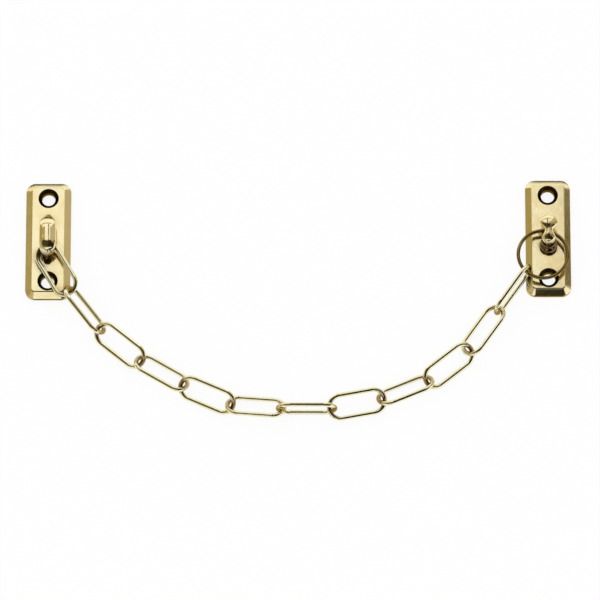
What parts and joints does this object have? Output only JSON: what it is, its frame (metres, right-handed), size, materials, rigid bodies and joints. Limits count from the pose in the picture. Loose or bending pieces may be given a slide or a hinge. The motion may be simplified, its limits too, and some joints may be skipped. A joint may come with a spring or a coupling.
{
  "type": "door chain",
  "caption": "Brass door chain: bevelled plate with a fixed staple, a run of oval wire links and an end ring that drops over the hook of a matching plate.",
  "frame": {"origin": "midway between the chain plate's two screw holes, on the plane of its back face", "axes": "+X from the chain plate towards the hook plate, +Y along the plates from the end the chain leaves by, +Z out of the plates' fronts; laid flat as pictured, with both back faces on Z = 0"},
  "size_m": [0.182, 0.0844, 0.0111],
  "materials": {
    "plate_brass": "polished",
    "chain_brass": "polished",
    "ring_brass": "polished"
  },
  "bodies": {
    "chain_plate": {"chain_plate": "plate_brass"},
    "link_01": {"link_01": "chain_brass"},
    "link_02": {"link_02": "chain_brass"},
    "link_03": {"link_03": "chain_brass"},
    "link_04": {"link_04": "chain_brass"},
    "link_05": {"link_05": "chain_brass"},
    "link_06": {"link_06": "chain_brass"},
    "link_07": {"link_07": "chain_brass"},
    "link_08": {"link_08": "chain_brass"},
    "link_09": {"link_09": "chain_brass"},
    "link_10": {"link_10": "chain_brass"},
    "link_11": {"link_11": "chain_brass"},
    "link_12": {"link_12": "chain_brass"},
    "ring": {"ring": "ring_brass"},
    "hook_plate": {"hook_plate": "plate_brass"}
  },
  "joints": [
    {"name": "link_01_swing", "type": "hinge", "parent": "chain_plate", "child": "link_01", "pos_m": [0, -0.00623, 0.00598], "axis": [0, 0, 1], "range_deg": [-36, 35]},
    {"name": "link_02_swing", "type": "hinge", "parent": "link_01", "child": "link_02", "pos_m": [0.00671, -0.0179, 0.00611], "axis": [0, 0, -1], "range_deg": [-28, 50]},
    {"name": "link_03_swing", "type": "hinge", "parent": "link_02", "child": "link_03", "pos_m": [0.0184, -0.03259, 0.00382], "axis": [0, 0, 1], "range_deg": [-36, 38]},
    {"name": "link_04_swing", "type": "hinge", "parent": "link_03", "child": "link_04", "pos_m": [0.03177, -0.04294, 0.00322], "axis": [0, 0, -1], "range_deg": [-26, 34]},
    {"name": "link_05_swing", "type": "hinge", "parent": "link_04", "child": "link_05", "pos_m": [0.04464, -0.0505, 0.00336], "axis": [0, 0, 1], "range_deg": [-34, 27]},
    {"name": "link_06_swing", "type": "hinge", "parent": "link_05", "child": "link_06", "pos_m": [0.06197, -0.05804, 0.00336], "axis": [0, 0, -1], "range_deg": [-17, 40]},
    {"name": "link_07_swing", "type": "hinge", "parent": "link_06", "child": "link_07", "pos_m": [0.07683, -0.05925, 0.00465], "axis": [0, 0, 1], "range_deg": [-75, 75]},
    {"name": "link_08_swing", "type": "hinge", "parent": "link_07", "child": "link_08", "pos_m": [0.09573, -0.05925, 0.00465], "axis": [0, 0, -1], "range_deg": [-75, 75]},
    {"name": "link_09_swing", "type": "hinge", "parent": "link_08", "child": "link_09", "pos_m": [0.11028, -0.05613, 0.00326], "axis": [0, 0, 1], "range_deg": [-32, 24]},
    {"name": "link_10_swing", "type": "hinge", "parent": "link_09", "child": "link_10", "pos_m": [0.12603, -0.04991, 0.00326], "axis": [0, 0, -1], "range_deg": [-20, 36]},
    {"name": "link_11_swing", "type": "hinge", "parent": "link_10", "child": "link_11", "pos_m": [0.14082, -0.03814, 0.00326], "axis": [0, 0, 1], "range_deg": [-40, 16]},
    {"name": "link_12_swing", "type": "hinge", "parent": "link_11", "child": "link_12", "pos_m": [0.14936, -0.02594, 0.00449], "axis": [0, 0, -1], "range_deg": [-44, 70]},
    {"name": "ring_swing", "type": "hinge", "parent": "link_12", "child": "ring", "pos_m": [0.16037, -0.01079, 0.00703], "axis": [0, 0, 1], "range_deg": [-10, 65]},
    {"name": "hook_plate_swing", "type": "hinge", "parent": "ring", "child": "hook_plate", "pos_m": [0.16699, -0.00169, 0.00679], "axis": [0, 0, -1], "range_deg": [-70, 0]}
  ]
}
